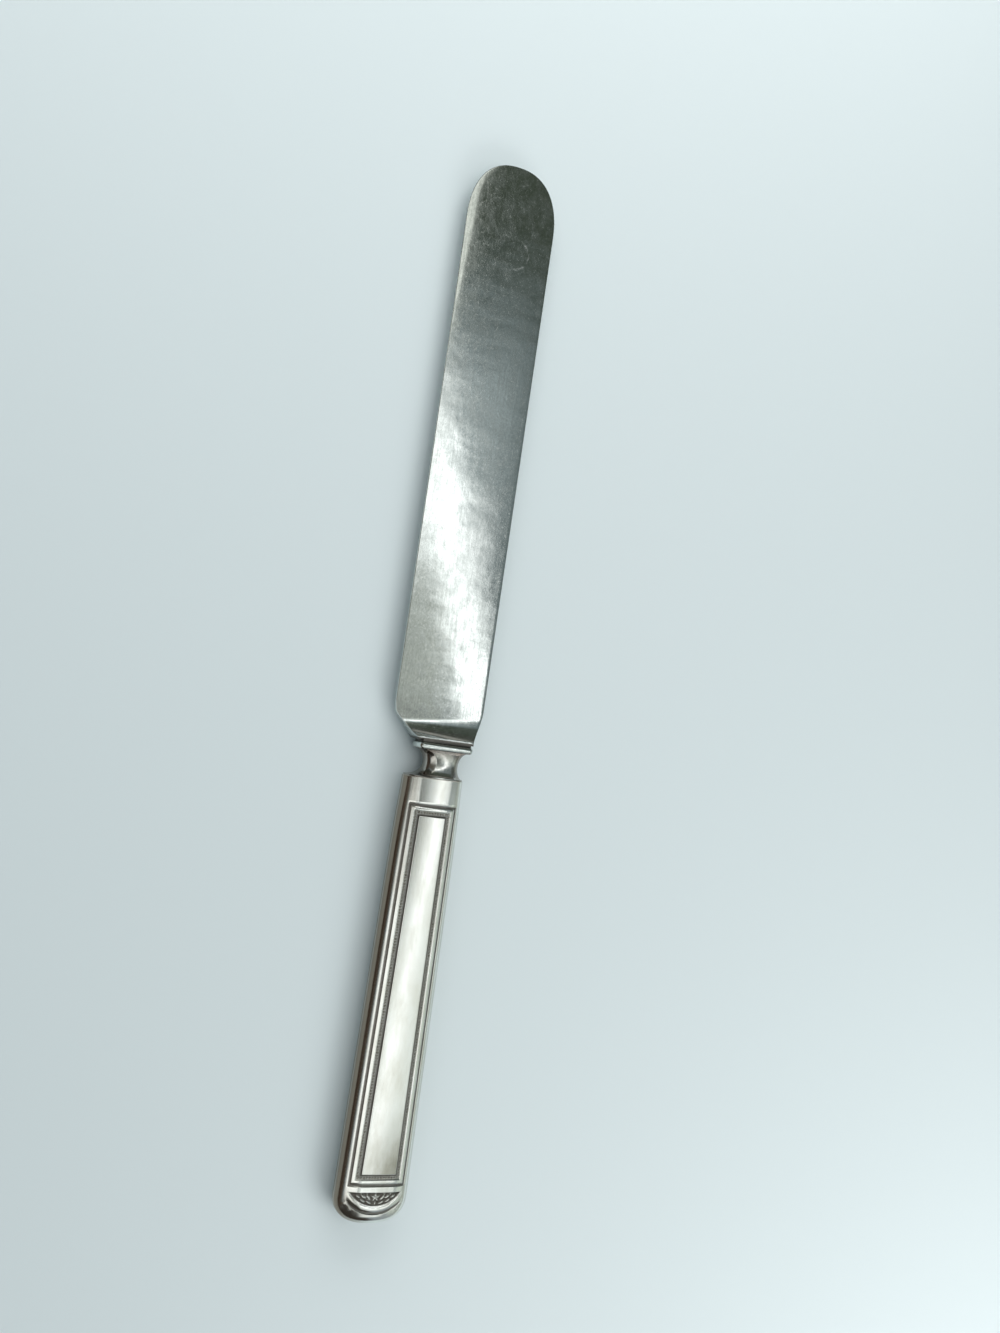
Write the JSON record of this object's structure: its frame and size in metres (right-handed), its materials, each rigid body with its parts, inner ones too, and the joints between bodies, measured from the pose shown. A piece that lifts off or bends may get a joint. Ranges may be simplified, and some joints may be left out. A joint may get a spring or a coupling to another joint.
{
  "type": "dinner knife",
  "caption": "Silver-plated dinner knife: broad round-ended blade with a waisted, collared bolster, and a hollow handle with a long bead-framed panel on each face.",
  "frame": {"origin": "middle of the knife's length and width, on the flat surface that its back panel lies on", "axes": "+Y from the handle to the tip of the blade, +X from the cutting edge to the spine, +Z out of the front face"},
  "size_m": [0.0222, 0.2446, 0.0079],
  "materials": {
    "plated_steel": "satin",
    "silver_plate": "satin",
    "solder": "satin",
    "cement": "matte"
  },
  "bodies": {
    "root": {"blade": "plated_steel", "handle_front_shell": "silver_plate", "handle_back_shell": "silver_plate", "seam_solder": "solder", "neck_solder": "solder", "handle_cement": "cement"}
  },
  "joints": []
}
